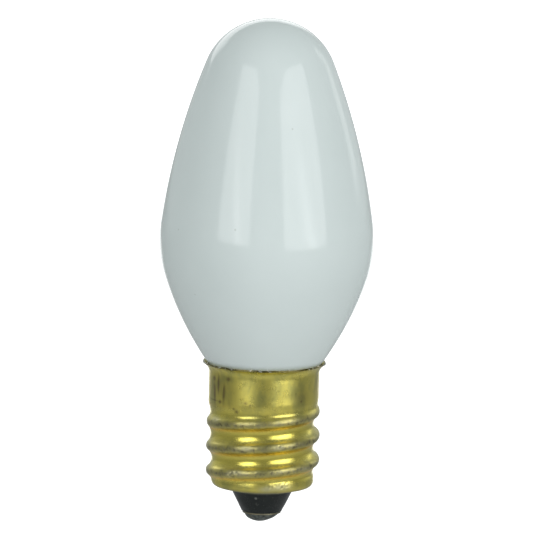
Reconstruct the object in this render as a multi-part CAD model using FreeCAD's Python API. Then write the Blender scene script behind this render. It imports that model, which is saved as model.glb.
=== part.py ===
import FreeCAD, Part
import math
import os
from FreeCAD import Vector

# Small candle-base Christmas bulb: an opaque white glass bulb in a rolled brass screw cap.
# Millimetres and degrees. Z runs up the bulb's axis, with the screw cap at the bottom.
# The origin is the lowest point of the centre contact, where a socket's spring meets it.

# Glass bulb
overall_length = 52.0
glass_diameter = 21.95
belly_height = 29.3
belly_arc = 12.7
crown_arc = 7.02
upper_flank_arc = 72.0
lower_flank_arc = 33.0
rim_clearance = 0.034
neck_clearance = 0.75
neck_blend_arc = 3.0
neck_bottom_height = 8.0
neck_edge_rounding = 0.7

# Hollow foot of the glass stem, open inside the cap, with the sealed pumping tube in it
foot_mouth_flare = 0.30
foot_bore_diameter = 4.3
foot_mouth_depth = 1.6
foot_depth = 6.4
pump_tube_diameter = 2.0
pump_tube_length = 5.0

# Screw shell, rolled from one cup of brass sheet
sheet = 0.16
shell_bottom_height = 3.68
shell_hole_diameter = 6.76
end_rise = 0.08
end_rounding = 0.68
thread_pitch = 2.54
thread_major_diameter = 11.68
thread_depth = 0.66
thread_crest_arc = 0.55
crest_height = 6.54
run_in_start = 0.19
run_in_length = 0.70
run_out_bottom_height = 10.9
run_out_length = 2.1
collar_rise = 0.48
collar_length = 2.5
flare_arc = 1.17
flare_angle = 64.1
angle_samples = 48
samples_per_pitch = 16
spline_degree = 3
seam_tolerance = 0.001

# Black glass insulator moulded through the hole in the shell
insulator_nose_height = 1.08
insulator_nose_diameter = 4.26
insulator_top_height = 5.5
insulator_floor_clearance = 0.05
insulator_thread_clearance = 0.45
insulator_funnel_diameter = 4.6
insulator_funnel_depth = 0.9

# Contact eyelet and its cap of solder
eyelet_inset = 0.16
eyelet_barrel_diameter = 2.1
eyelet_sheet = 0.15
eyelet_barrel_length = 1.9
solder_rise = 0.8

# Lead wires out of the glass stem
lead_diameter = 0.30
lead_bend_arc = 0.9
lead_clearance = 0.01
lead_embedment = 0.8
lead_in_solder = 0.15

# Basing cement and the solder that joins the side lead to the rim
cement_below_flare = 0.2
side_solder_diameter = 2.4

# Radii and heights of the shell, worked out from the sizes above
major_radius = thread_major_diameter / 2
minor_radius = major_radius - thread_depth
collar_radius = minor_radius + collar_rise
end_radius = minor_radius + end_rise
hole_radius = shell_hole_diameter / 2
half_pitch = thread_pitch / 2
band_bottom = shell_bottom_height + end_rounding
shell_floor = shell_bottom_height + sheet
run_out_top_height = run_out_bottom_height + run_out_length
flare_height = run_out_top_height + collar_length
flare_lean = math.radians(flare_angle)
rim_radius = collar_radius + flare_arc * (1 - math.cos(flare_lean))
rim_height = flare_height + flare_arc * math.sin(flare_lean)

# Radii and heights of the pieces that go in it and below it
glass_radius = glass_diameter / 2
neck_radius = minor_radius - sheet - neck_clearance
foot_bore_radius = foot_bore_diameter / 2
foot_mouth_radius = foot_bore_radius + foot_mouth_flare
pump_tube_radius = pump_tube_diameter / 2
nose_radius = insulator_nose_diameter / 2
eyelet_radius = nose_radius - eyelet_inset
barrel_radius = eyelet_barrel_diameter / 2
eyelet_bottom = insulator_nose_height - eyelet_sheet
side_lead_top_radius = collar_radius - sheet - lead_clearance - lead_diameter / 2

Z_AXIS = Vector(0, 0, 1)
ORIGIN = Vector(0, 0, 0)


def flat(point):
    """A (radius, height) pair as a point of the XZ half-plane."""
    return Vector(point[0], 0, point[1])


def line(start, end):
    return Part.LineSegment(flat(start), flat(end)).toShape()


def arc(centre, start, end):
    """The shorter arc about centre from start to end, all three as (radius, height)."""
    radius = math.dist(centre, start)
    middle_r = (start[0] + end[0]) / 2 - centre[0]
    middle_z = (start[1] + end[1]) / 2 - centre[1]
    reach = radius / math.hypot(middle_r, middle_z)
    middle = (centre[0] + middle_r * reach, centre[1] + middle_z * reach)
    return Part.Arc(flat(start), flat(middle), flat(end)).toShape()


def outline(points):
    """Straight edges from each point to the next."""
    return [line(start, end) for start, end in zip(points, points[1:])]


def revolved(edges):
    return Part.Face(Part.Wire(edges)).revolve(ORIGIN, Z_AXIS, 360)


def along(start, end, distance):
    """The point at a distance from start on the line towards end."""
    share = distance / math.dist(start, end)
    return (start[0] + (end[0] - start[0]) * share, start[1] + (end[1] - start[1]) * share)


def centre_touching(first, first_reach, second, second_reach):
    """The point at the two given distances from first and second that lies nearer the axis side."""
    gap = math.dist(first, second)
    step = (first_reach ** 2 - second_reach ** 2 + gap ** 2) / (2 * gap)
    foot = along(first, second, step)
    side = math.sqrt(first_reach ** 2 - step ** 2) / gap
    return (foot[0] - (second[1] - first[1]) * side, foot[1] + (second[0] - first[0]) * side)


def glass_outline():
    """Edges of the bulb's outside from the crown to the neck: arcs, each tangent to the next.

    The lower flank is set by the flare of the shell, which it goes down into with a small clearance."""
    crown_centre = (0, overall_length - crown_arc)
    belly_centre = (glass_radius - belly_arc, belly_height)
    upper_centre = centre_touching(
        belly_centre, upper_flank_arc - belly_arc, crown_centre, upper_flank_arc - crown_arc
    )
    crown_end = along(upper_centre, crown_centre, upper_flank_arc)
    belly_start = along(upper_centre, belly_centre, upper_flank_arc)
    flare_centre = (collar_radius + flare_arc, flare_height)
    flare_reach = lower_flank_arc + rim_clearance + sheet + flare_arc
    lower_centre = centre_touching(flare_centre, flare_reach, belly_centre, lower_flank_arc - belly_arc)
    belly_end = along(lower_centre, belly_centre, lower_flank_arc)
    blend_r = neck_radius + neck_blend_arc
    blend_reach = lower_flank_arc + neck_blend_arc
    blend_z = lower_centre[1] - math.sqrt(blend_reach ** 2 - (blend_r - lower_centre[0]) ** 2)
    blend_centre = (blend_r, blend_z)
    flank_end = along(lower_centre, blend_centre, lower_flank_arc)
    neck_top = (neck_radius, blend_z)
    edges = [
        arc(crown_centre, (0, overall_length), crown_end),
        arc(upper_centre, crown_end, belly_start),
        arc(belly_centre, belly_start, belly_end),
        arc(lower_centre, belly_end, flank_end),
        arc(blend_centre, flank_end, neck_top),
    ]
    return edges, neck_top


def make_glass():
    """The whole sealed bulb as one solid, down to the open foot of its stem and the pumping tube."""
    edges, neck_top = glass_outline()
    bottom = neck_bottom_height
    edge = neck_edge_rounding
    mouth = foot_mouth_radius
    bore = foot_bore_radius
    top = bottom + foot_depth
    tube = pump_tube_radius
    tip = top - pump_tube_length
    edges += [
        line(neck_top, (neck_radius, bottom + edge)),
        arc((neck_radius - edge, bottom + edge), (neck_radius, bottom + edge), (neck_radius - edge, bottom)),
        line((neck_radius - edge, bottom), (mouth, bottom)),
        line((mouth, bottom), (bore, bottom + foot_mouth_depth)),
        line((bore, bottom + foot_mouth_depth), (bore, top)),
        line((bore, top), (tube, top)),
        line((tube, top), (tube, tip + tube)),
        arc((0, tip + tube), (tube, tip + tube), (0, tip)),
        line((0, tip), (0, overall_length)),
    ]
    return revolved(edges)


def thread_radius(from_crest):
    """Outside radius of the rolled thread at an axial distance from a crest: two tangent arcs."""
    distance = abs(from_crest)
    arcs = (half_pitch ** 2 + thread_depth ** 2) / (2 * thread_depth)
    root_arc = arcs - thread_crest_arc
    if distance < half_pitch * thread_crest_arc / arcs:
        return major_radius - thread_crest_arc + math.sqrt(thread_crest_arc ** 2 - distance ** 2)
    return minor_radius + root_arc - math.sqrt(root_arc ** 2 - (half_pitch - distance) ** 2)


def eased(share):
    share = min(max(share, 0), 1)
    return share * share * (3 - 2 * share)


def shell_radius(angle, height):
    """Outside radius of the shell, where the thread runs in from the plain end and out to the collar."""
    crest = crest_height + thread_pitch * angle / math.tau
    from_crest = (height - crest + half_pitch) % thread_pitch - half_pitch
    run_out = eased((run_out_top_height - height) / (run_out_top_height - run_out_bottom_height))
    run_in = eased((height - band_bottom - run_in_start) / run_in_length)
    radius = collar_radius + run_out * (thread_radius(from_crest) - collar_radius)
    return end_radius + run_in * (radius - end_radius)


def band_section(angle, depth):
    """Points up the threaded band at one angle, moved inwards from the outside by a depth of metal."""
    count = round((run_out_top_height - band_bottom) / thread_pitch * samples_per_pitch)
    step = (run_out_top_height - band_bottom) / count
    points = []
    for index in range(count + 1):
        height = band_bottom + step * index
        slope = (shell_radius(angle, height + step / 2) - shell_radius(angle, height - step / 2)) / step
        if index in (0, count):
            slope = 0
        inwards = depth / math.hypot(1, slope)
        radius = shell_radius(angle, height) - inwards
        points.append(Vector(radius * math.cos(angle), radius * math.sin(angle), height + inwards * slope))
    return points


def smoothed(before, point, after):
    """Control point that makes a cubic spline of even steps pass through point."""
    return point - (before - point * 2 + after) * (1 / 6)


def band_skin(depth):
    """One side of the threaded band: a smooth surface, closed round the axis, through its sections."""
    angles = [math.tau * (index - 1) / angle_samples for index in range(angle_samples)]
    sections = [band_section(angle, depth) for angle in angles]
    poles = []
    for index, section in enumerate(sections):
        left = sections[index - 1]
        right = sections[(index + 1) % angle_samples]
        row = [smoothed(*trio) for trio in zip(left, section, right)]
        inner = [smoothed(*trio) for trio in zip(row, row[1:], row[2:])]
        first = row[0] + (row[1] - row[0]) * (1 / 3)
        last = row[-1] + (row[-2] - row[-1]) * (1 / 3)
        poles.append([row[0], first] + inner + [last, row[-1]])
    spans = len(poles[0]) - spline_degree
    skin = Part.BSplineSurface()
    skin.buildFromPolesMultsKnots(
        poles,
        [1] * (angle_samples + 1),
        [spline_degree + 1] + [1] * (spans - 1) + [spline_degree + 1],
        list(range(angle_samples + 1)),
        list(range(spans + 1)),
        True,
        False,
        spline_degree,
        spline_degree,
    )
    return skin.toShape()


def make_shell():
    """The screw shell: two skins a sheet's thickness apart, closed at the hole and at the rim."""
    corner = (end_radius - end_rounding, band_bottom)
    flare_centre = (collar_radius + flare_arc, flare_height)
    rim_outside = (rim_radius, rim_height)
    rim_inside = along(flare_centre, rim_outside, flare_arc + sheet)
    inner_collar = collar_radius - sheet
    edges = [
        line((end_radius - end_rounding, shell_floor), (hole_radius, shell_floor)),
        line((hole_radius, shell_floor), (hole_radius, shell_bottom_height)),
        line((hole_radius, shell_bottom_height), (corner[0], shell_bottom_height)),
        arc(corner, (corner[0], shell_bottom_height), (end_radius, band_bottom)),
        arc(corner, (corner[0], shell_floor), (end_radius - sheet, band_bottom)),
        line((collar_radius, run_out_top_height), (collar_radius, flare_height)),
        arc(flare_centre, (collar_radius, flare_height), rim_outside),
        line(rim_outside, rim_inside),
        arc(flare_centre, rim_inside, (inner_collar, flare_height)),
        line((inner_collar, flare_height), (inner_collar, run_out_top_height)),
    ]
    faces = [edge.revolve(ORIGIN, Z_AXIS, 360) for edge in edges]
    faces += [band_skin(0), band_skin(sheet)]
    joined, _ = faces[0].generalFuse(faces[1:], seam_tolerance)
    shell = Part.makeShell(joined.Faces)
    shell.sewShape()
    solid = Part.makeSolid(shell)
    if solid.Volume < 0:
        solid.reverse()
    return solid


def make_insulator():
    """The nose cone below the shell, the plug in its hole and the disc that fills its floor."""
    nose = insulator_nose_height
    disc_foot = end_radius - end_rounding - insulator_floor_clearance
    disc_top = minor_radius - sheet - insulator_thread_clearance
    funnel = insulator_funnel_diameter / 2
    top = insulator_top_height
    return revolved(outline([
        (barrel_radius, nose),
        (nose_radius, nose),
        (hole_radius, shell_bottom_height),
        (hole_radius, shell_floor),
        (disc_foot, shell_floor),
        (disc_top, top),
        (funnel, top),
        (barrel_radius, top - insulator_funnel_depth),
        (barrel_radius, nose),
    ]))


def make_eyelet():
    """A brass eyelet: its flange lies on the insulator's nose, and its barrel runs up the hole."""
    inside = barrel_radius - eyelet_sheet
    top = insulator_nose_height + eyelet_barrel_length
    return revolved(outline([
        (inside, eyelet_bottom),
        (eyelet_radius, eyelet_bottom),
        (eyelet_radius, insulator_nose_height),
        (barrel_radius, insulator_nose_height),
        (barrel_radius, top),
        (inside, top),
        (inside, eyelet_bottom),
    ]))


def make_solder_tip(lead):
    """The domed contact: solder over the eyelet's flange that has also run up its barrel."""
    inside = barrel_radius - eyelet_sheet
    dome_arc = (eyelet_radius ** 2 + eyelet_bottom ** 2) / (2 * eyelet_bottom)
    top = eyelet_bottom + solder_rise
    edges = [
        arc((0, dome_arc), (0, 0), (eyelet_radius, eyelet_bottom)),
        line((eyelet_radius, eyelet_bottom), (inside, eyelet_bottom)),
        line((inside, eyelet_bottom), (inside, top)),
        line((inside, top), (0, top)),
        line((0, top), (0, 0)),
    ]
    return revolved(edges).cut(lead)


def wire(route):
    """A round wire along a route in the YZ plane: straight runs joined by tangent arcs."""
    points = [Vector(0, y, z) for y, z in route]
    edges = []
    start = points[0]
    for before, knee, after in zip(points, points[1:], points[2:]):
        back = (before - knee).normalize()
        ahead = (after - knee).normalize()
        half_turn = back.getAngle(ahead) / 2
        setback = lead_bend_arc / math.tan(half_turn)
        bisector = (back + ahead).normalize()
        middle = knee + bisector * (lead_bend_arc / math.sin(half_turn) - lead_bend_arc)
        entry = knee + back * setback
        leave = knee + ahead * setback
        edges += [Part.LineSegment(start, entry).toShape(), Part.Arc(entry, middle, leave).toShape()]
        start = leave
    edges.append(Part.LineSegment(start, points[-1]).toShape())
    section = Part.Wire(Part.Circle(points[0], points[1] - points[0], lead_diameter / 2).toShape())
    return Part.Wire(edges).makePipeShell([section], True, True)


def make_centre_lead():
    """From the stem down beside the pumping tube and through the eyelet into its solder."""
    offset = (pump_tube_radius + foot_bore_radius) / 2
    return wire([
        (-offset, neck_bottom_height + foot_depth + lead_embedment),
        (-offset, neck_bottom_height + lead_bend_arc),
        (0, insulator_top_height + lead_bend_arc),
        (0, eyelet_bottom / 2),
    ])


def make_side_lead():
    """From the stem down, out under the neck, up between neck and shell and on to the rim."""
    offset = (pump_tube_radius + foot_bore_radius) / 2
    turn_height = (insulator_top_height + neck_bottom_height) / 2
    climb_radius = (neck_radius + minor_radius - sheet) / 2
    return wire([
        (offset, neck_bottom_height + foot_depth + lead_embedment),
        (offset, turn_height),
        (climb_radius, turn_height),
        (climb_radius, run_out_top_height - lead_bend_arc),
        (side_lead_top_radius, run_out_top_height),
        (side_lead_top_radius, rim_height - side_solder_diameter / 2 + lead_in_solder),
    ])


def cut_by(shape, others):
    """What is left of a shape after each of the others has been cut from it."""
    for other in others:
        shape = shape.cut(other)
    return shape


def make_cement(glass, lead):
    """The ring of cement between the glass and the inside of the collar."""
    foot = Vector(0, 0, run_out_top_height)
    height = collar_length - cement_below_flare
    disc = Part.makeCylinder(collar_radius - sheet, height, foot)
    core = Part.makeCylinder(neck_radius - neck_edge_rounding, height, foot)
    return cut_by(disc, [core, glass, lead])


def make_side_solder(neighbours):
    """A bead of solder on the rim at the back, run down between rim and glass to the side lead."""
    middle = Vector(0, (rim_radius + side_lead_top_radius) / 2, rim_height)
    return cut_by(Part.makeSphere(side_solder_diameter / 2, middle), neighbours)


def main():
    centre_lead = make_centre_lead()
    side_lead = make_side_lead()
    glass = cut_by(make_glass(), [centre_lead, side_lead])
    shell = make_shell()
    cement = make_cement(glass, side_lead)
    parts = {
        "glass_envelope": glass,
        "screw_shell": shell,
        "insulator": make_insulator(),
        "contact_eyelet": make_eyelet(),
        "solder_tip": make_solder_tip(centre_lead),
        "centre_lead": centre_lead,
        "side_lead": side_lead,
        "basing_cement": cement,
        "side_solder": make_side_solder([glass, shell, cement, side_lead]),
    }
    os.makedirs("parts", exist_ok=True)
    for name, shape in parts.items():
        shape.exportStep(os.path.join("parts", name + ".step"))
        print(name, shape.isValid(), len(shape.Solids), "solids, %.2f mm3" % shape.Volume)


main()
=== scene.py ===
import math

import bmesh
import bpy
import numpy as np
from mathutils import Matrix, Vector


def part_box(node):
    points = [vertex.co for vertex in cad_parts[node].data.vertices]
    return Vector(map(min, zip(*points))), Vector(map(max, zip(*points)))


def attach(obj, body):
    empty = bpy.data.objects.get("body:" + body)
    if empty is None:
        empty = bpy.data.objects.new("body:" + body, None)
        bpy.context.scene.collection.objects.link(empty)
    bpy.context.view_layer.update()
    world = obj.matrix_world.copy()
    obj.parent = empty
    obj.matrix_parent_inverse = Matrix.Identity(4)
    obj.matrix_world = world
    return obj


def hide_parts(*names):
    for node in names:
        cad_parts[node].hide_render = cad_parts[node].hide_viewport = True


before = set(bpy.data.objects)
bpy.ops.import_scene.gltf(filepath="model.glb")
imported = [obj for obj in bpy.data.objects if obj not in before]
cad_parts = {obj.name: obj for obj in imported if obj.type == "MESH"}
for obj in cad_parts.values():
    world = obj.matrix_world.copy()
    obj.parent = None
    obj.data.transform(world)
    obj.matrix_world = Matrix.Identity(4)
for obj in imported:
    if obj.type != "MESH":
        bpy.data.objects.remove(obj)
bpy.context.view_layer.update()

# A small Christmas bulb, opaque white glass in a brass screw cap, with the finish of the real one.
# Lengths are millimetres and become metres when a mesh is made. Z runs up the bulb's axis.
# Azimuths are degrees round that axis, 0 towards the camera and 90 towards the picture's right.
MM = 0.001
BODY = "root"


def node_box(node):
    """Lowest and highest corner of a node of the frame, in millimetres."""
    low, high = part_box(node)
    return low / MM, high / MM


glass_low, glass_high = node_box("glass_envelope")
shell_low = node_box("screw_shell")[0]
insulator_low, insulator_high = node_box("insulator")
eyelet_low, eyelet_high = node_box("contact_eyelet")
bead_low, bead_high = node_box("side_solder")

# Glass bulb: its five arcs and the foot of its stem
overall_length = glass_high.z
glass_radius = glass_high.x
neck_bottom = glass_low.z
belly_height = 29.3
belly_arc = 12.7
crown_arc = 7.02
upper_flank_arc = 72.0
lower_flank_arc = 33.0
rim_clearance = 0.034
neck_radius = 4.27
neck_blend_arc = 3.0
neck_edge_rounding = 0.7
foot_mouth_radius = 2.45
foot_bore_radius = 2.15
foot_mouth_depth = 1.6
foot_depth = 6.4
pump_tube_radius = 1.0
pump_tube_length = 5.0

# Screw shell: a cup of thin sheet with a rolled thread, of which a crest crosses the +X side at
# crest_height
sheet = 0.16
shell_bottom = shell_low.z
hole_radius = 3.38
end_radius = 5.26
end_rounding = 0.68
thread_pitch = 2.54
major_radius = 5.84
thread_depth = 0.66
thread_crest_arc = 0.55
crest_height = 6.54
run_in_start = 0.19
run_in_length = 0.70
run_out_bottom = 10.9
run_out_top = 13.0
collar_radius = 5.66
flare_height = 15.5
flare_arc = 1.17
flare_lean = math.radians(64.1)

# On the left of the picture the thread lacks a share of its depth, more of it higher up, and runs
# in lower down
left_loss_low = 0.13
left_loss_high = 0.35
left_loss_start = 7.2
left_loss_rise = 1.8
left_run_in = 0.42

# Insulator, eyelet and the solder of the contact
nose_radius = 2.13
nose_rounding = 0.12
barrel_radius = 1.05
eyelet_sheet = 0.15
funnel_radius = 2.3
funnel_depth = 0.9
disc_foot_radius = 4.53
disc_radius = insulator_high.x
solder_radius = eyelet_high.x
solder_depth = eyelet_low.z
solder_rise = 0.8

half_pitch = thread_pitch / 2
minor_radius = major_radius - thread_depth
band_bottom = shell_bottom + end_rounding
shell_floor = shell_bottom + sheet
flare_centre = (collar_radius + flare_arc, flare_height)
rim_radius = flare_centre[0] - flare_arc * math.cos(flare_lean)
rim_height = flare_height + flare_arc * math.sin(flare_lean)

# Edges sharper than this, in degrees, stay sharp
crease_angle = 38

# Distance to the right of the axis, height and size of the specks that show on the glass
GLASS_SPECKS = [(2.4, 41.8, 0.13), (-3.2, 31.7, 0.14), (-9.0, 31.0, 0.12), (-7.2, 24.5, 0.12)]

# Azimuth, height, half width, half height and depth of the even stains on the cap
STAINS = [
    (-66, 12.93, 1.3, 0.07, 0.6), (44, 13.6, 1.2, 1.0, 0.45), (-57, 8.75, 1.1, 0.4, 0.3),
    (-50, 6.2, 0.9, 0.35, 0.2), (68, 14.2, 0.9, 1.5, 0.22),
]
# The same for the streaked stains, with two depths, between the streaks and added in them: one on
# the left of the collar and the others behind
STREAKED_STAINS = [(-56, 14.3, 1.9, 1.4, 0.5, 1.1)]
STREAKED_STAINS += [(turn, 13.6 + 0.9 * math.sin(turn), 0.8, 1.2, 0.2, 0.6) for turn in range(90, 300, 35)]

# Azimuth, height and size of the dark spots that show best
STAIN_SPOTS = [
    (-30, 12.1, 0.22), (-33, 12.4, 0.14), (-19, 13.1, 0.2), (-14, 12.9, 0.12), (-52, 12.9, 0.2),
    (43, 13.2, 0.12), (-64, 15.2, 0.3), (-40, 15.4, 0.25), (120, 14.2, 0.25), (171, 13.3, 0.2),
    (-140, 12.8, 0.25), (-118, 14.6, 0.18), (150, 15.0, 0.16),
]
# Azimuth, height, half width and half height of the scuffed places
SCUFFS = [
    (22, 4.35, 1.25, 0.4), (4, 4.2, 0.8, 0.3), (-16, 8.45, 0.5, 0.22), (-36, 5.6, 0.35, 0.3),
    (48, 6.15, 0.6, 0.25), (-28, 5.9, 0.7, 0.25), (17, 8.6, 0.5, 0.2), (-60, 11.0, 0.7, 0.25),
    (140, 4.3, 1.0, 0.35), (-150, 8.0, 0.7, 0.25), (95, 9.6, 0.6, 0.22), (-105, 5.2, 0.8, 0.3),
]
# Azimuths of the crumbs of cement at the rim, and the chip that shows on the insulator
CRUMB_AZIMUTHS = [-19, -15, -12, -8, -5, 3, 24, 63, -70]
CHIP_SPOT = (-0.6, -2.83, 2.85)
CHIP_SIZE = 0.2


def along(start, end, distance):
    """The point at a distance from start on the line towards end."""
    share = distance / math.dist(start, end)
    return (start[0] + (end[0] - start[0]) * share, start[1] + (end[1] - start[1]) * share)


def centre_touching(first, first_reach, second, second_reach):
    """The point at the given distances from first and second, to the left on the way to second."""
    gap = math.dist(first, second)
    step = (first_reach ** 2 - second_reach ** 2 + gap ** 2) / (2 * gap)
    foot = along(first, second, step)
    side = math.sqrt(first_reach ** 2 - step ** 2) / gap
    return (foot[0] - (second[1] - first[1]) * side, foot[1] + (second[0] - first[0]) * side)


def arc(centre, start, end, steps):
    """Points of the shorter arc about centre from start to end, without end itself."""
    radius = math.dist(centre, start)
    first = math.atan2(start[1] - centre[1], start[0] - centre[0])
    last = math.atan2(end[1] - centre[1], end[0] - centre[0])
    turn = (last - first + math.pi) % math.tau - math.pi
    turns = [first + turn * step / steps for step in range(steps)]
    return [(centre[0] + radius * math.cos(a), centre[1] + radius * math.sin(a)) for a in turns]


def line(start, end, steps):
    """Evenly spaced points of a straight run from start to end, without end itself."""
    shares = [step / steps for step in range(steps)]
    return [(start[0] + (end[0] - start[0]) * s, start[1] + (end[1] - start[1]) * s) for s in shares]


def ripple(points, wavelength, seed):
    """Smooth noise of about -1 to 1 at the points, from sine waves in seeded directions."""
    waves = 16
    rng = np.random.default_rng(seed)
    directions = rng.normal(size=(waves, 3))
    directions /= np.linalg.norm(directions, axis=1)[:, None]
    phases = rng.uniform(0, math.tau, waves)
    total = np.zeros(points.shape[:-1])
    for direction, phase in zip(directions, phases):
        total += np.sin(points @ direction * (math.tau / wavelength) + phase)
    return total / math.sqrt(2 * waves)


def eased(share):
    """A smooth step: 0 up to 0, 1 from 1 on."""
    share = np.clip(share, 0, 1)
    return share * share * (3 - 2 * share)


def bell(distance, width):
    """1 at no distance, fading to 0 over about twice the width."""
    return np.exp(-(distance / width) ** 2)


def from_axis(points):
    """Distance of each point from the bulb's axis."""
    return np.hypot(points[..., 0], points[..., 1])


def on_circle(radii, heights, angles):
    """Points from radii and heights, one row for each place on the profile, one column for each angle."""
    return np.stack([radii * np.cos(angles), radii * np.sin(angles), heights], axis=-1)


def turned(profile, columns):
    """Points of a profile of (radius, height) pairs turned round the axis."""
    angles = np.arange(columns) * math.tau / columns
    radii = np.array([point[0] for point in profile])[:, None] * np.ones(columns)
    heights = np.array([point[1] for point in profile])[:, None] * np.ones(columns)
    return on_circle(radii, heights, angles)


def moved_in(points, depth, least_radius=0):
    """The points moved towards the axis by a depth, less so within least_radius of the axis."""
    moved = points.copy()
    scale = 1 - depth / np.maximum(from_axis(points), least_radius)
    moved[..., 0] *= scale
    moved[..., 1] *= scale
    return moved


def add_mesh(name, points, loop, values=None):
    """A closed piece from rows of points in millimetres. A row that is one point closes as a cap.

    With loop the last row joins the first. values are named numbers for each point, for its finish."""
    rows, columns = points.shape[:2]
    ids = np.arange(rows * columns).reshape(rows, columns)
    upper = ids if loop else ids[:-1]
    lower = np.roll(ids, -1, axis=0) if loop else ids[1:]
    quads = np.stack([upper, np.roll(upper, -1, 1), np.roll(lower, -1, 1), lower], axis=-1)
    mesh = bpy.data.meshes.new(name)
    mesh.from_pydata((points.reshape(-1, 3) * MM).tolist(), [], quads.reshape(-1, 4).tolist())
    for label, numbers in (values or {}).items():
        layer = mesh.attributes.new(label, "FLOAT", "POINT")
        layer.data.foreach_set("value", numbers.reshape(-1).astype(np.float32))
    shape = bmesh.new()
    shape.from_mesh(mesh)
    if not loop:
        bmesh.ops.remove_doubles(shape, verts=shape.verts, dist=MM * 0.0001)
    bmesh.ops.recalc_face_normals(shape, faces=shape.faces)
    shape.to_mesh(mesh)
    shape.free()
    return add_piece(name, mesh)


def add_piece(name, mesh):
    """A named object for a mesh, smooth but for its sharp edges, riding on the bulb."""
    mesh.shade_smooth()
    mesh.set_sharp_from_angle(angle=math.radians(crease_angle))
    piece = bpy.data.objects.new(name, mesh)
    bpy.context.scene.collection.objects.link(piece)
    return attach(piece, BODY) or piece


def facing(azimuth):
    """Angle about the axis, from +X, of an azimuth in degrees."""
    return math.radians(azimuth - 90)


def turn_from(azimuth, angles):
    """How far angles lie round the axis from an azimuth, from -pi to pi."""
    return (angles - facing(azimuth) + math.pi) % math.tau - math.pi


def patch(points, azimuth, height, half_width, half_height):
    """1 at a place on the cap's side that fades to 0 over the half sizes given."""
    turn = turn_from(azimuth, np.arctan2(points[..., 1], points[..., 0]))
    across = turn * collar_radius / half_width
    upward = (points[..., 2] - height) / half_height
    return np.exp(-(across ** 2 + upward ** 2))


def glass_profile():
    """The bulb from its crown down the outside, round the neck and up into the foot of the stem."""
    crown_centre = (0, overall_length - crown_arc)
    belly_centre = (glass_radius - belly_arc, belly_height)
    upper_centre = centre_touching(
        belly_centre, upper_flank_arc - belly_arc, crown_centre, upper_flank_arc - crown_arc
    )
    crown_end = along(upper_centre, crown_centre, upper_flank_arc)
    belly_start = along(upper_centre, belly_centre, upper_flank_arc)
    flare_reach = lower_flank_arc + rim_clearance + sheet + flare_arc
    lower_centre = centre_touching(flare_centre, flare_reach, belly_centre, lower_flank_arc - belly_arc)
    belly_end = along(lower_centre, belly_centre, lower_flank_arc)
    blend_r = neck_radius + neck_blend_arc
    blend_reach = lower_flank_arc + neck_blend_arc
    blend_z = lower_centre[1] - math.sqrt(blend_reach ** 2 - (blend_r - lower_centre[0]) ** 2)
    flank_end = along(lower_centre, (blend_r, blend_z), lower_flank_arc)
    neck_top = (neck_radius, blend_z)
    edge_centre = (neck_radius - neck_edge_rounding, neck_bottom + neck_edge_rounding)
    neck_foot = (neck_radius, edge_centre[1])
    neck_end = (edge_centre[0], neck_bottom)
    mouth = (foot_mouth_radius, neck_bottom)
    bore = (foot_bore_radius, neck_bottom + foot_mouth_depth)
    bore_top = (foot_bore_radius, neck_bottom + foot_depth)
    tube_top = (pump_tube_radius, bore_top[1])
    tip = bore_top[1] - pump_tube_length
    tube_end = (pump_tube_radius, tip + pump_tube_radius)
    profile = arc(crown_centre, (0, overall_length), crown_end, 44)
    profile += arc(upper_centre, crown_end, belly_start, 84)
    profile += arc(belly_centre, belly_start, belly_end, 28)
    profile += arc(lower_centre, belly_end, flank_end, 44)
    profile += arc((blend_r, blend_z), flank_end, neck_top, 8)
    profile += line(neck_top, neck_foot, 6)
    profile += arc(edge_centre, neck_foot, neck_end, 5)
    profile += line(neck_end, mouth, 2)
    profile += line(mouth, bore, 3)
    profile += line(bore, bore_top, 6)
    profile += line(bore_top, tube_top, 2)
    profile += line(tube_top, tube_end, 5)
    profile += arc((0, tube_end[1]), tube_end, (0, tip), 6)
    return profile + [(0, tip)]


def front_of_glass(across, height):
    """The place on the front of the bulb's outside at a distance to the right of its axis."""
    radius = min(glass_profile(), key=lambda point: abs(point[1] - height))[0]
    return (across, -math.sqrt(radius ** 2 - across ** 2), height)


def make_bulb():
    """The blown glass, with the very slight waves that such glass has above the cap."""
    wave_depth = 0.008
    wave_length = 11
    fine_depth = 0.0025
    fine_length = 3.2
    fade_height = 3
    points = turned(glass_profile(), 256)
    depth = wave_depth * (1 - ripple(points, wave_length, seed=3))
    depth += fine_depth * (1 - ripple(points, fine_length, seed=4))
    depth *= eased((points[..., 2] - rim_height) / fade_height)
    return add_mesh("bulb_glass", moved_in(points, depth, least_radius=1), loop=False)


def thread_radius(offset):
    """Outside radius of the rolled thread at an axial offset from a crest: two tangent arcs."""
    distance = np.abs(offset)
    arcs = (half_pitch ** 2 + thread_depth ** 2) / (2 * thread_depth)
    root_arc = arcs - thread_crest_arc
    crest = np.sqrt(np.maximum(thread_crest_arc ** 2 - distance ** 2, 0))
    root = np.sqrt(np.maximum(root_arc ** 2 - (half_pitch - distance) ** 2, 0))
    on_crest = distance < half_pitch * thread_crest_arc / arcs
    return np.where(on_crest, major_radius - thread_crest_arc + crest, minor_radius + root_arc - root)


def from_crest(angles, heights):
    """Axial offset from the nearest crest of the right-hand thread."""
    crest = crest_height + thread_pitch * angles / math.tau
    return (heights - crest + half_pitch) % thread_pitch - half_pitch


def run_out(heights):
    """1 on the full thread, falling to 0 where it has run out into the collar."""
    return eased((run_out_top - heights) / (run_out_top - run_out_bottom))


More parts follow.
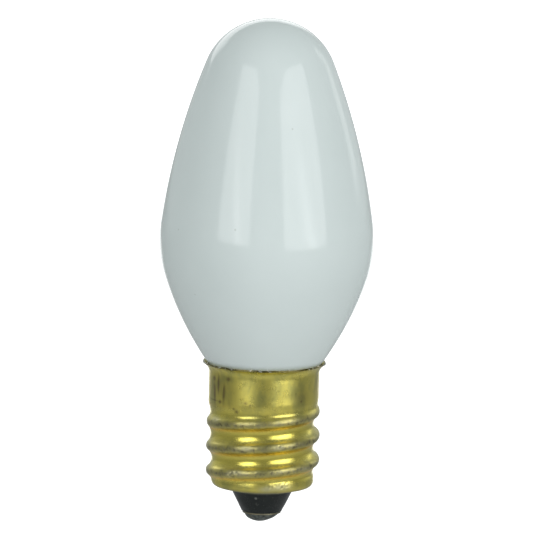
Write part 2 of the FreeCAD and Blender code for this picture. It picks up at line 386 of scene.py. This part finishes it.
def shell_radius(angles, heights):
    """Outside radius of the shell, where the thread runs in from the plain end and out to the collar."""
    left = np.exp(-turn_from(-90, angles) ** 2)
    run_in = eased((heights - band_bottom - run_in_start + left_run_in * left) / run_in_length)
    higher = eased((heights - left_loss_start) / left_loss_rise)
    loss = left * (left_loss_low + (left_loss_high - left_loss_low) * higher)
    thread = thread_radius(from_crest(angles, heights))
    thread += loss * (major_radius - thread)
    radius = collar_radius + run_out(heights) * (thread - collar_radius)
    return end_radius + run_in * (radius - end_radius)


def band(angles, heights, depth):
    """Rows of the threaded band, moved inwards from its outside by a depth of metal."""
    heights = heights[:, None] * np.ones(len(angles))
    tiny = 0.005
    slope = (shell_radius(angles, heights + tiny) - shell_radius(angles, heights - tiny)) / (2 * tiny)
    inwards = depth / np.hypot(1, slope)
    return on_circle(shell_radius(angles, heights) - inwards, heights + inwards * slope, angles)


def make_shell():
    """The brass cap as one sheet: outside from its hole up to the rim, then inside and back down."""
    columns = 300
    rows_outside = 172
    rows_inside = 58
    angles = np.arange(columns) * math.tau / columns
    rim_outside = (rim_radius, rim_height)
    rim_inside = along(flare_centre, rim_outside, flare_arc + sheet)
    corner = (end_radius - end_rounding, band_bottom)
    inner_end = end_radius - sheet
    inner_collar = collar_radius - sheet
    lower_outside = line((hole_radius, shell_bottom), (corner[0], shell_bottom), 3)
    lower_outside += arc(corner, (corner[0], shell_bottom), (end_radius, band_bottom), 10)
    upper_outside = line((collar_radius, run_out_top), (collar_radius, flare_height), 22)
    upper_outside += arc(flare_centre, (collar_radius, flare_height), rim_outside, 12)
    upper_outside += line(rim_outside, rim_inside, 2)
    upper_inside = arc(flare_centre, rim_inside, (inner_collar, flare_height), 8)
    upper_inside += line((inner_collar, flare_height), (inner_collar, run_out_top), 3)
    lower_inside = arc(corner, (inner_end, band_bottom), (corner[0], shell_floor), 5)
    lower_inside += line((corner[0], shell_floor), (hole_radius, shell_floor), 3)
    lower_inside += line((hole_radius, shell_floor), (hole_radius, shell_bottom), 2)
    points = np.concatenate([
        turned(lower_outside, columns),
        band(angles, np.linspace(band_bottom, run_out_top, rows_outside, endpoint=False), 0),
        turned(upper_outside + upper_inside, columns),
        band(angles, np.linspace(run_out_top, band_bottom, rows_inside, endpoint=False), sheet),
        turned(lower_inside, columns),
    ])
    marks = shell_marks(points)
    return add_mesh("brass_cap", dented(points, marks["crest"], marks["scuff"]), loop=True, values=marks)


def shell_marks(points):
    """Numbers from 0 to 1 at each point of the cap that its finish goes by.

    They say where it is a crest, the underside of a ridge (tint), where an orange reflection is painted,
    a root, the edge of the rim, where shade is painted, stained or scuffed. The stained places include a
    darkening round the bend at the lower end."""
    crest_drop = 0.02
    crest_width = 0.42
    tint_drop = 0.62
    tint_width = 0.2
    root_width = 0.5
    edge_start = 0.08
    edge_fade = 0.05
    heights = points[..., 2]
    angles = np.arctan2(points[..., 1], points[..., 0]) % math.tau
    threaded = run_out(heights) * eased((heights - band_bottom) / run_in_length)
    offset = from_crest(angles, heights)
    up_flare = np.arctan2(heights - flare_height, flare_centre[0] - from_axis(points))
    return {
        "crest": threaded * bell(offset + crest_drop, crest_width),
        "tint": threaded * bell(offset + tint_drop, tint_width),
        "root": threaded * bell(half_pitch - np.abs(offset), root_width),
        "edge": eased((up_flare - flare_lean + edge_start) / edge_fade),
        "stain_and_darkening": stains(points),
        "scuff": scuffs(points),
    }


def stains(points):
    """Where the cap is stained, in streaks, even stains and spots, and darker round the bend at its lower
    end.
    """
    streak_width = 0.7
    streak_flattening = (1, 1, 0.2)
    bend_depth = 0.7
    bend_radius = 4.5
    bend_fade = 0.2
    bend_height = 0.28
    spot_flattening = 0.8
    streaks = np.maximum(ripple(points * streak_flattening, streak_width, seed=21), 0)
    # Darker round the bend at the lower end of the cap
    total = bend_depth * bell(points[..., 2] - shell_bottom, bend_height)
    total *= eased((from_axis(points) - bend_radius) / bend_fade)
    for azimuth, height, half_width, half_height, plain, streaked in STREAKED_STAINS:
        total += patch(points, azimuth, height, half_width, half_height) * (plain + streaked * streaks)
    for azimuth, height, half_width, half_height, depth in STAINS:
        total += patch(points, azimuth, height, half_width, half_height) * depth
    for azimuth, height, size in STAIN_SPOTS:
        total += patch(points, azimuth, height, size, size * spot_flattening)
    return np.clip(total, 0, 1)


def scuffs(points):
    """Where the sheet is scuffed and pitted: the front of the plain end and places on the ridges."""
    total = np.zeros(points.shape[:2])
    for azimuth, height, half_width, half_height in SCUFFS:
        total += patch(points, azimuth, height, half_width, half_height)
    return np.clip(total, 0, 1)


def dented(points, crest, scuff):
    """The cap's points with the dents, pits and uneven rim of thin sheet that has been handled."""
    roll_depth = 0.008
    roll_length = 2.6
    pit_depth = 0.07
    pit_size = 0.36
    crest_pitting = 0.25
    end_fade = 0.5
    rim_drop = 0.035
    rim_length = 1.7
    heights = points[..., 2]
    depth = roll_depth * (1 + ripple(points, roll_length, seed=31))
    pitting = crest_pitting * crest + scuff
    depth += pit_depth * pitting * np.maximum(ripple(points, pit_size, seed=32), 0)
    above_end = eased((heights - band_bottom) / end_fade) + scuff
    near_rim = eased((heights - flare_height) / (rim_height - flare_height))
    moved = moved_in(points, depth * np.clip(above_end, 0, 1) * (1 - near_rim))
    moved[..., 2] -= rim_drop * near_rim * (1 + ripple(points, rim_length, seed=33))
    return moved


def make_insulator():
    """The black glass: a nose cone with softened edges, a plug through the shell and a disc in it."""
    wave_depth = 0.02
    wave_length = 1.6
    plug_fade = 0.4
    highlight_drop = 0.27
    highlight_width = 0.09
    nose = insulator_low.z
    top = insulator_high.z
    rounding = (nose_radius - nose_rounding, nose + nose_rounding)
    profile = line((barrel_radius, nose), (rounding[0], nose), 3)
    profile += arc(rounding, (rounding[0], nose), (nose_radius, rounding[1]), 5)
    profile += line((nose_radius, rounding[1]), (hole_radius, shell_bottom), 26)
    profile += line((hole_radius, shell_bottom), (hole_radius, shell_floor), 2)
    profile += line((hole_radius, shell_floor), (disc_foot_radius, shell_floor), 4)
    profile += line((disc_foot_radius, shell_floor), (disc_radius, top), 6)
    profile += line((disc_radius, top), (funnel_radius, top), 4)
    profile += line((funnel_radius, top), (barrel_radius, top - funnel_depth), 4)
    profile += line((barrel_radius, top - funnel_depth), (barrel_radius, nose), 8)
    points = turned(profile, 192)
    heights = points[..., 2]
    depth = wave_depth * (1 + ripple(points, wave_length, seed=41)) + chips(points)
    depth *= eased((shell_bottom - heights) / plug_fade) * (heights > nose)
    # Painted highlight: a thin pale band round the insulator just below the brass, where light catches it
    painted_highlight = bell(heights - shell_bottom + highlight_drop, highlight_width)
    return add_mesh("insulator_glass", moved_in(points, depth), loop=True, values={"painted_highlight": painted_highlight})


def chips(points):
    """Depth of the small chips along the lower edge of the insulator."""
    chip_depth = 0.05
    chip_size = 0.7
    chip_top = 1.5
    chip_fade = 0.4
    low_enough = eased((chip_top - points[..., 2]) / chip_fade)
    return chip_depth * np.maximum(ripple(points, chip_size, seed=42), 0) * low_enough


def make_solder_tip():
    """The domed contact, uneven and leaning to the left as it set, and the solder in the eyelet."""
    narrowing = 0.035
    narrowing_length = 1.3
    lift = 0.03
    lift_length = 0.9
    lean = 0.24
    inside = barrel_radius - eyelet_sheet
    dome_arc = (solder_radius ** 2 + solder_depth ** 2) / (2 * solder_depth)
    top = solder_depth + solder_rise
    profile = arc((0, dome_arc), (0, 0), (solder_radius, solder_depth), 30)
    profile += line((solder_radius, solder_depth), (inside, solder_depth), 3)
    profile += line((inside, solder_depth), (inside, top), 3)
    profile += line((inside, top), (0, top), 2)
    points = turned(profile + [(0, top)], 160)
    share_out = from_axis(points) / solder_radius
    on_dome = (points[..., 2] < solder_depth) * eased(share_out)
    scale = 1 - on_dome * narrowing * (1 + ripple(points, narrowing_length, seed=51))
    points[..., 0] *= scale
    points[..., 1] *= scale
    points[..., 2] += on_dome * lift * (1 + ripple(points, lift_length, seed=52))
    points[..., 0] -= lean * (points[..., 2] < solder_depth) * (1 - share_out ** 2)
    return add_mesh("contact_solder", points, loop=False)


def make_side_bead():
    """The lump of solder over the rim at the back, set while it ran down the collar."""
    lump_depth = 0.09
    lump_size = 1.5
    grain_depth = 0.02
    grain_size = 0.5
    steps = 48
    centre = (np.array(bead_low) + np.array(bead_high)) / 2
    half = (np.array(bead_high) - np.array(bead_low)) / 2
    turns = [math.pi * step / steps for step in range(steps + 1)]
    points = turned([(math.sin(turn), math.cos(turn)) for turn in turns], 72)
    lumps = 1 - lump_depth * (1 + ripple(points, lump_size, seed=61))
    lumps -= grain_depth * (1 + ripple(points, grain_size, seed=62))
    return add_mesh("rim_solder", points * lumps[..., None] * half + centre, loop=False)


def make_crumbs():
    """Pale crumbs of cement that have come up between the rim and the glass at the front."""
    inside_rim = 0.14
    above_rim = 0.1
    roughness = 0.012
    sizes = (0.05, 0.11)
    widths = (0.7, 1.3)
    heights = (0.6, 0.9)
    rng = np.random.default_rng(71)
    reach = rim_radius - inside_rim
    shape = bmesh.new()
    for azimuth in CRUMB_AZIMUTHS:
        angle = facing(azimuth)
        size = rng.uniform(*sizes)
        spot = (reach * math.cos(angle), reach * math.sin(angle), rim_height + above_rim)
        squash = Matrix.Diagonal((rng.uniform(*widths), rng.uniform(*widths), rng.uniform(*heights), 1))
        turn = Matrix.Rotation(rng.uniform(0, math.tau), 4, "Z")
        place = Matrix.Translation(Vector(spot) * MM) @ turn @ squash
        bmesh.ops.create_icosphere(shape, subdivisions=2, radius=size * MM, matrix=place)
    for vertex in shape.verts:
        vertex.co += Vector(rng.uniform(-roughness, roughness, 3)) * MM
    mesh = bpy.data.meshes.new("cement_crumbs")
    shape.to_mesh(mesh)
    shape.free()
    return add_piece("cement_crumbs", mesh)


class Nodes:
    """Short calls that add nodes to a tree and wire them up."""

    def __init__(self, tree):
        self.tree = tree

    def add(self, kind, **settings):
        """A new node with the given settings."""
        node = self.tree.nodes.new(kind)
        for name, value in settings.items():
            setattr(node, name, value)
        return node

    def feed(self, socket, source):
        """Sets a socket to a plain value, or links it to another node's output."""
        if isinstance(source, bpy.types.NodeSocket):
            self.tree.links.new(source, socket)
        else:
            socket.default_value = source

    def math_vector(self, operation, vector, other=None, scale=None):
        """Vector that an operation makes of one vector and another, or a scale."""
        node = self.add("ShaderNodeVectorMath", operation=operation)
        self.feed(node.inputs[0], vector)
        if other is not None:
            self.feed(node.inputs[1], other)
        if scale is not None:
            self.feed(node.inputs["Scale"], scale)
        return node.outputs[0]

    def maths(self, operation, *sources, clamp=False):
        """Number that an operation makes of its sources."""
        node = self.add("ShaderNodeMath", operation=operation, use_clamp=clamp)
        for socket, source in zip(node.inputs, sources):
            self.feed(socket, source)
        return node.outputs[0]

    def between(self, source, zero_at, one_at):
        """Runs from 0 to 1, smoothly, as source goes from zero_at to one_at."""
        node = self.add("ShaderNodeMapRange", interpolation_type="SMOOTHSTEP")
        for name, value in (("Value", source), ("From Min", zero_at), ("From Max", one_at)):
            self.feed(node.inputs[name], value)
        return node.outputs["Result"]

    def level(self, share, low, high):
        """A number that runs from low to high with a share."""
        node = self.add("ShaderNodeMapRange")
        for name, value in (("Value", share), ("To Min", low), ("To Max", high)):
            self.feed(node.inputs[name], value)
        return node.outputs["Result"]


class Finish(Nodes):
    """A procedural material, with lengths in millimetres."""

    # A speck is full within this share of its size
    SPECK_CORE = 0.5

    def __init__(self, name):
        self.material = bpy.data.materials.new(name)
        self.material.use_nodes = True
        super().__init__(self.material.node_tree)
        self.shader = self.tree.nodes["Principled BSDF"]
        where = self.add("ShaderNodeTexCoord").outputs["Object"]
        self.place = self.math_vector("SCALE", where, scale=1 / MM)

    def noise(self, size, detail=3.0, roughness=0.55, stretch=(1, 1, 1)):
        """Noise whose patches are about size millimetres, stretched along an axis if wanted."""
        node = self.add("ShaderNodeTexNoise")
        self.feed(node.inputs["Vector"], self.math_vector("DIVIDE", self.place, stretch))
        self.feed(node.inputs["Scale"], 1 / size)
        self.feed(node.inputs["Detail"], detail)
        self.feed(node.inputs["Roughness"], roughness)
        return node.outputs["Fac"]

    def specks(self, spacing, size, share):
        """1 in small round specks: one in each cell of the given spacing, in that share of cells."""
        node = self.add("ShaderNodeTexVoronoi", feature="F1")
        self.feed(node.inputs["Vector"], self.place)
        self.feed(node.inputs["Scale"], 1 / spacing)
        split = self.add("ShaderNodeSeparateColor")
        self.feed(split.inputs["Color"], node.outputs["Color"])
        near = self.between(node.outputs["Distance"], size / spacing, size / spacing * self.SPECK_CORE)
        chosen = self.maths("LESS_THAN", split.outputs["Red"], share)
        return self.maths("MULTIPLY", near, chosen)

    def speck_at(self, spot, size):
        """1 within a size of a given place."""
        node = self.add("ShaderNodeVectorMath", operation="DISTANCE")
        self.feed(node.inputs[0], self.place)
        self.feed(node.inputs[1], spot)
        return self.between(node.outputs["Value"], size, size * self.SPECK_CORE)

    def mark(self, name):
        """A number that the mesh carries at each point."""
        return self.add("ShaderNodeAttribute", attribute_name=name).outputs["Fac"]

    def blend(self, share, first, second):
        """Mixes two colours by a share. The Mix node's colours are its inputs 6 and 7 and output 2."""
        node = self.add("ShaderNodeMix", data_type="RGBA")
        self.feed(node.inputs["Factor"], share)
        self.feed(node.inputs[6], first)
        self.feed(node.inputs[7], second)
        return node.outputs[2]

    def tinted(self, colour, tint, share, depth):
        """The colour, taken towards a tint by a depth where the share is 1."""
        return self.blend(self.maths("MULTIPLY", share, depth), colour, tint)

    def bump(self, height, depth, normal=None):
        """Relief of the given depth in millimetres."""
        node = self.add("ShaderNodeBump")
        self.feed(node.inputs["Strength"], 1.0)
        self.feed(node.inputs["Distance"], depth * MM)
        self.feed(node.inputs["Height"], height)
        if normal is not None:
            self.feed(node.inputs["Normal"], normal)
        return node.outputs["Normal"]

    def shade(self, **inputs):
        """Feeds the shader's inputs, whose names are written with _ for a space."""
        for name, source in inputs.items():
            self.feed(self.shader.inputs[name.replace("_", " ")], source)
        return self.material


def glass_finish():
    """Opaque white enamel, glossy, with a faint drift of tone and a few specks under the gloss."""
    grey_white = (0.655, 0.735, 0.725, 1)
    clear_white = (0.715, 0.787, 0.778, 1)
    speck_grey = (0.30, 0.34, 0.29, 1)
    finish = Finish("white_glass")
    tone = finish.blend(finish.noise(9, detail=2), grey_white, clear_white)
    speck = finish.specks(2.6, 0.16, 0.05)
    for across, height, size in GLASS_SPECKS:
        speck = finish.maths("MAXIMUM", speck, finish.speck_at(front_of_glass(across, height), size))
    colour = finish.tinted(tone, speck_grey, speck, 0.3)
    gloss = finish.level(finish.noise(1.4, detail=4), 0.05, 0.13)
    skin = finish.bump(finish.noise(2.2, detail=2), 0.004)
    return finish.shade(Base_Color=colour, Roughness=gloss, Normal=skin, IOR=1.43)


def brass_finish():
    """Rolled brass: bright in the thread's roots, dull and pitted on its crests, stained collar."""
    clean = (0.70, 0.61, 0.14, 1)
    patinated = (0.46, 0.43, 0.125, 1)
    root_yellow = (0.72, 0.62, 0.12, 1)
    painted_orange_reflection = (0.95, 0.58, 0.05, 1)
    worn_dark = (0.20, 0.18, 0.095, 1)
    worn_pale = (0.46, 0.43, 0.23, 1)
    blotch_brown = (0.10, 0.085, 0.05, 1)
    stain_and_darkening_brown = (0.13, 0.09, 0.05, 1)
    scuff_pale = (0.60, 0.57, 0.36, 1)
    rim_painted_shade = (0.07, 0.06, 0.035, 1)
    cement_pale = (0.55, 0.55, 0.46, 1)
    finish = Finish("brass_shell")
    worn = finish.mark("crest")
    patina = finish.between(finish.noise(1.8, detail=5, stretch=(1, 1, 1.6)), 0.38, 0.66)
    grime = finish.between(finish.noise(0.35, detail=5, roughness=0.7), 0.36, 0.62)
    dull = finish.maths("MULTIPLY", worn, finish.level(grime, 0.6, 1.0))
    rubbed = finish.blend(finish.noise(0.4, detail=4), worn_dark, worn_pale)
    blotch = finish.between(finish.noise(0.55, detail=5, roughness=0.65), 0.52, 0.64)
    blotch = finish.maths("MULTIPLY", worn, blotch)
    spots = finish.maths("MULTIPLY", finish.specks(0.9, 0.12, 0.35), 0.4)
    stain_and_darkening = finish.maths("ADD", finish.mark("stain_and_darkening"), spots, clamp=True)
    crumbs = finish.between(finish.noise(0.5, detail=3), 0.55, 0.62)
    colour = finish.blend(patina, clean, patinated)
    colour = finish.tinted(colour, root_yellow, finish.mark("root"), 0.9)
    # Painted reflection: an orange band on the underside of each ridge, for the light that the brass
    # reflects onto itself
    colour = finish.tinted(colour, painted_orange_reflection, finish.mark("tint"), 0.65)
    colour = finish.blend(dull, colour, rubbed)
    colour = finish.tinted(colour, blotch_brown, blotch, 0.75)
    colour = finish.tinted(colour, stain_and_darkening_brown, stain_and_darkening, 0.75)
    colour = finish.tinted(colour, scuff_pale, finish.mark("scuff"), 0.6)
    # Painted shade: the rim's lip is coloured dark for the shade that falls in the gap between the rim and
    # the glass
    colour = finish.tinted(colour, rim_painted_shade, finish.mark("edge"), 0.85)
    colour = finish.tinted(colour, cement_pale, finish.mark("edge"), crumbs)
    rough = finish.level(finish.noise(0.8, detail=5), 0.20, 0.37)
    rough = finish.maths("MULTIPLY_ADD", finish.mark("scuff"), 0.18, rough)
    rough = finish.maths("MULTIPLY_ADD", finish.maths("ADD", dull, stain_and_darkening), 0.14, rough)
    rough = finish.maths("MULTIPLY_ADD", finish.mark("root"), -0.08, rough)
    relief = finish.bump(finish.noise(0.12, detail=3, stretch=(16, 16, 1)), 0.004)
    relief = finish.bump(finish.noise(0.16, detail=5, roughness=0.7), 0.010, relief)
    around = finish.add("ShaderNodeTangent", direction_type="RADIAL", axis="Z").outputs["Tangent"]
    finish.shade(Anisotropic=0.6, Anisotropic_Rotation=0.25, Tangent=around)
    return finish.shade(Base_Color=colour, Metallic=1.0, Roughness=rough, Normal=relief)


def black_glass_finish():
    """Black glass with fine scratches, dust and a soft gloss, and a pale highlight painted in a thin band
    just below the brass.
    """
    black = (0.006, 0.008, 0.008, 1)
    soft_black = (0.014, 0.018, 0.017, 1)
    dust_grey = (0.30, 0.31, 0.28, 1)
    painted_highlight_olive = (0.26, 0.26, 0.17, 1)
    finish = Finish("black_glass")
    dust = finish.specks(0.55, 0.05, 0.25)
    scratch = finish.between(finish.noise(0.3, detail=4, stretch=(1, 1, 6)), 0.62, 0.72)
    chip = finish.speck_at(CHIP_SPOT, CHIP_SIZE)
    pale = finish.maths("ADD", dust, finish.maths("MULTIPLY_ADD", scratch, 0.25, chip), clamp=True)
    tone = finish.blend(finish.noise(0.9, detail=3), black, soft_black)
    colour = finish.tinted(tone, dust_grey, pale, 0.35)
    # Painted highlight in the thin band below the brass
    colour = finish.tinted(colour, painted_highlight_olive, finish.mark("painted_highlight"), 0.8)
    rough = finish.level(finish.noise(0.5, detail=4), 0.16, 0.34)
    skin = finish.bump(finish.noise(0.6, detail=3), 0.012)
    finish.shade(Specular_IOR_Level=0.24)
    return finish.shade(Base_Color=colour, Roughness=rough, Normal=skin)


def solder_finish():
    """Dull grey solder, crystalline and slightly bluish, with brown flux in its hollows."""
    dark_grey = (0.03, 0.036, 0.033, 1)
    pale_grey = (0.165, 0.185, 0.17, 1)
    flux_brown = (0.13, 0.10, 0.06, 1)
    finish = Finish("solder")
    grain = finish.between(finish.noise(0.4, detail=5, roughness=0.7), 0.3, 0.7)
    flux = finish.between(finish.noise(0.7, detail=3), 0.58, 0.74)
    colour = finish.tinted(finish.blend(grain, dark_grey, pale_grey), flux_brown, flux, 0.5)
    rough = finish.level(finish.noise(0.3, detail=3), 0.34, 0.56)
    return finish.shade(Base_Color=colour, Metallic=0.85, Roughness=rough, Normal=finish.bump(grain, 0.02))


def eyelet_finish():
    """Brass browned by the heat of soldering."""
    tarnished = (0.32, 0.31, 0.22, 1)
    browned = (0.16, 0.13, 0.08, 1)
    finish = Finish("brass_eyelet")
    burnt = finish.noise(0.4, detail=4)
    colour = finish.blend(burnt, tarnished, browned)
    rough = finish.level(burnt, 0.3, 0.5)
    return finish.shade(Base_Color=colour, Metallic=1.0, Roughness=rough, Normal=finish.bump(burnt, 0.008))


def wire_finish():
    """Drawn lead wire with fine lines along it."""
    dark_metal = (0.42, 0.36, 0.30, 1)
    pale_metal = (0.62, 0.56, 0.50, 1)
    finish = Finish("lead_wire")
    lines = finish.noise(0.08, detail=3, stretch=(1, 1, 12))
    colour = finish.blend(lines, dark_metal, pale_metal)
    rough = finish.level(lines, 0.25, 0.42)
    return finish.shade(Base_Color=colour, Metallic=1.0, Roughness=rough, Normal=finish.bump(lines, 0.004))


def cement_finish():
    """Matt, gritty basing cement."""
    buff = (0.52, 0.48, 0.38, 1)
    off_white = (0.78, 0.75, 0.66, 1)
    finish = Finish("cement")
    grit = finish.noise(0.18, detail=6, roughness=0.7)
    colour = finish.blend(grit, buff, off_white)
    return finish.shade(Base_Color=colour, Roughness=0.9, Normal=finish.bump(grit, 0.04))


def dress(piece, material, slot, *nodes):
    """Gives a new piece its finish and hides the nodes of the frame that it stands for."""
    piece.data.materials.append(material)
    if nodes:
        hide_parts(*nodes)


def dress_node(node, material):
    """A node of the frame that stays gets a better finish."""
    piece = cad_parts[node]
    for holder in piece.material_slots:
        holder.material = material


def make_object():
    """Every piece of the bulb, with its finish."""
    brass = brass_finish()
    solder = solder_finish()
    wire = wire_finish()
    cement = cement_finish()
    dress(make_bulb(), glass_finish(), "white_glass", "glass_envelope")
    dress(make_shell(), brass, "brass_shell", "screw_shell")
    dress(make_insulator(), black_glass_finish(), "black_glass", "insulator")
    dress(make_solder_tip(), solder, "solder", "solder_tip")
    dress(make_side_bead(), solder, "solder", "side_solder")
    dress(make_crumbs(), cement, "cement")
    dress_node("contact_eyelet", eyelet_finish())
    dress_node("centre_lead", wire)
    dress_node("side_lead", wire)
    dress_node("basing_cement", cement)


# The camera: the photo's angle from above and tilt in degrees, its distance in metres, and the
# point on the bulb that it looks at
camera_elevation = 8.7
camera_distance = 0.8
camera_roll = 1.1
pixels_per_mm = 9.77
picture_width = 533
sensor_width = 36
aim = Vector((0.03, 0, 26.45)) * MM

# The floor, in metres. It lies well below the bulb, which its socket or cord would hold. The lit
# spot on it is full up to spot_core of its half sizes.
floor_height = -0.25
floor_half = 5.0
spot_centre = (0, 1.95)
spot_half = (0.8, 1.15)
spot_core = 0.72

# How the panels' light is shaped, with half a panel's width or height as 1. Their ends are
# crisp_ends times as crisp as their sides.
crisp_ends = 3.0
top_cut_slope = 0.3
top_cut_height = 0.28
foot_cut_slope = 0.12
streak_slope = 0.55
streak_shift = 0.19
streak_half = 0.32
streak_top = 0.5
streak_full_below = -0.75

# The soft light from all round: its strength in front of the bulb and behind it, and how far back
# a direction of length 1 points where it starts to grow and where it is full
fill_colour = (0.95, 1.0, 1.0, 1)
fill_in_front = 0.32
fill_behind = 0.57
fill_grows_from = -0.2
fill_full_from = 0.7


def make_camera():
    """The camera that sees the bulb as the photo does."""
    up = math.radians(camera_elevation)
    back = Vector((0, -math.cos(up), math.sin(up)))
    data = bpy.data.cameras.new("camera")
    data.sensor_width = sensor_width
    data.lens = pixels_per_mm / MM * camera_distance * sensor_width / picture_width
    data.clip_start = 0.01
    camera = bpy.data.objects.new("camera", data)
    bpy.context.scene.collection.objects.link(camera)
    turn = (-back).to_track_quat("-Z", "Y").to_matrix().to_4x4()
    roll = Matrix.Rotation(math.radians(camera_roll), 4, "Z")
    camera.matrix_world = Matrix.Translation(aim + back * camera_distance) @ turn @ roll
    bpy.context.scene.camera = camera


def make_floor():
    """A pale floor, with white light on the part of it that is behind the bulb in the picture."""
    corners = [(-1, -1), (1, -1), (1, 1), (-1, 1)]
    places = [(x * floor_half, y * floor_half, floor_height) for x, y in corners]
    mesh = bpy.data.meshes.new("floor")
    mesh.from_pydata(places, [], [(0, 1, 2, 3)])
    floor = bpy.data.objects.new("floor", mesh)
    bpy.context.scene.collection.objects.link(floor)
    finish = Finish("floor")
    finish.shade(Base_Color=(0.8, 0.8, 0.8, 1), Roughness=0.9)
    centre = [value / MM for value in (*spot_centre, floor_height)]
    sizes = [value / MM for value in (*spot_half, 1)]
    scaled = finish.math_vector("DIVIDE", finish.math_vector("SUBTRACT", finish.place, centre), sizes)
    length = finish.add("ShaderNodeVectorMath", operation="LENGTH")
    finish.feed(length.inputs[0], scaled)
    spot = finish.between(length.outputs["Value"], 1.0, spot_core)
    rays = finish.add("ShaderNodeLightPath").outputs
    seen = finish.maths("MAXIMUM", rays["Is Camera Ray"], rays["Is Glossy Ray"])
    seen = finish.maths("MAXIMUM", seen, rays["Is Transmission Ray"])
    glow = finish.add("ShaderNodeEmission")
    finish.feed(glow.inputs["Strength"], finish.maths("MULTIPLY", spot, seen))
    both = finish.add("ShaderNodeAddShader")
    finish.feed(both.inputs[0], finish.shader.outputs[0])
    finish.feed(both.inputs[1], glow.outputs[0])
    output = finish.tree.nodes["Material Output"]
    finish.feed(output.inputs["Surface"], both.outputs[0])
    mesh.materials.append(finish.material)


def panel_strength(nodes, softness, taper=0, streak=0, cut=0):
    """The strength of a panel's light over its face, shaped as make_panel says."""
    place = nodes.add("ShaderNodeSeparateXYZ")
    nodes.feed(place.inputs[0], nodes.add("ShaderNodeNewGeometry").outputs["Parametric"])
    across = nodes.maths("MULTIPLY_ADD", place.outputs["X"], 2.0, -1.0)
    upward = nodes.maths("MULTIPLY_ADD", place.outputs["Y"], 2.0, -1.0)
    downward = nodes.maths("MULTIPLY", upward, -1.0)
    widened = nodes.maths("MULTIPLY", across, nodes.level(place.outputs["Y"], 1 + taper, 1.0))
    raised = nodes.maths("MULTIPLY", upward, 1 + top_cut_height * abs(cut))
    top_cut = nodes.maths("MULTIPLY_ADD", across, top_cut_slope * cut, raised)
    foot_cut = nodes.maths("MULTIPLY_ADD", across, -foot_cut_slope * cut, downward)
    to_end = nodes.maths("MAXIMUM", top_cut, foot_cut)
    to_end = nodes.maths("MAXIMUM", to_end, nodes.maths("ABSOLUTE", upward))
    to_end = nodes.maths("MULTIPLY_ADD", to_end, crisp_ends, 1.0 - crisp_ends)
    to_edge = nodes.maths("MAXIMUM", nodes.maths("ABSOLUTE", widened), to_end)
    shape = nodes.between(to_edge, 1.0, 1.0 - softness)
    slant = nodes.maths("MULTIPLY_ADD", upward, streak_slope, nodes.maths("ADD", across, streak_shift))
    hot = nodes.between(nodes.maths("ABSOLUTE", slant), streak_half, 0.0)
    hot = nodes.maths("MULTIPLY", hot, nodes.between(upward, streak_top, streak_full_below))
    return nodes.maths("MULTIPLY", shape, nodes.maths("MULTIPLY_ADD", hot, streak, 1.0))


def make_panel(name, azimuth, low, high, half_angle, distance, radiance, softness, **shape):
    """A soft light panel that stands upright and faces the bulb, at a distance in metres.

    It reaches from low to high degrees of elevation and half_angle to each side, seen from the bulb.
    Its shape may have a taper, which narrows its foot, a streak, which brightens a slanting band in
    its lower half, and a cut, which slopes its top and its foot: 1 takes off the upper corner on one
    side and the lower one on the other, and -1 the two others."""
    angle = facing(azimuth)
    bottom = aim.z + distance * math.tan(math.radians(low))
    top = aim.z + distance * math.tan(math.radians(high))
    data = bpy.data.lights.new(name, "AREA")
    data.shape = "RECTANGLE"
    data.size = 2 * distance * math.tan(math.radians(half_angle))
    data.size_y = top - bottom
    data.energy = radiance * math.pi * data.size * data.size_y
    data.use_nodes = True
    nodes = Nodes(data.node_tree)
    nodes.feed(nodes.tree.nodes["Emission"].inputs["Strength"], panel_strength(nodes, softness, **shape))
    panel = bpy.data.objects.new(name, data)
    bpy.context.scene.collection.objects.link(panel)
    outward = Vector((math.cos(angle), math.sin(angle), 0))
    panel.location = outward * distance + Vector((0, 0, (bottom + top) / 2))
    panel.rotation_mode = "QUATERNION"
    panel.rotation_quaternion = (-outward).to_track_quat("-Z", "Y")


def make_fill():
    """Soft light from all round, dimmer from in front of the bulb than from behind it."""
    world = bpy.data.worlds.new("world")
    bpy.context.scene.world = world
    world.use_nodes = True
    nodes = Nodes(world.node_tree)
    background = nodes.tree.nodes["Background"]
    place = nodes.add("ShaderNodeSeparateXYZ")
    nodes.feed(place.inputs[0], nodes.add("ShaderNodeTexCoord").outputs["Generated"])
    behind = nodes.between(place.outputs["Y"], fill_grows_from, fill_full_from)
    nodes.feed(background.inputs["Color"], fill_colour)
    nodes.feed(background.inputs["Strength"], nodes.level(behind, fill_in_front, fill_behind))


def make_lights():
    """Two tall panels in front, a weak one behind on the right, a wide one behind, and the soft fill."""
    make_panel(
        "left_panel", azimuth=-36.5, low=-1, high=42, half_angle=21.5, distance=0.55, radiance=2.25,
        softness=0.14, taper=0.16, streak=0.8, cut=1,
    )
    make_panel(
        "right_panel", azimuth=43, low=-5, high=42, half_angle=28, distance=0.55, radiance=2.3,
        softness=0.14, taper=0.12, streak=0.8, cut=-1,
    )
    make_panel(
        "rim_panel", azimuth=128, low=1, high=34, half_angle=9, distance=0.6, radiance=0.85, softness=0.6,
    )
    make_panel(
        "back_panel", azimuth=-164, low=17, high=38, half_angle=36, distance=0.14, radiance=1.35,
        softness=0.4,
    )
    make_fill()


make_object()
make_camera()
make_floor()
make_lights()
bpy.context.scene.view_settings.view_transform = "Standard"
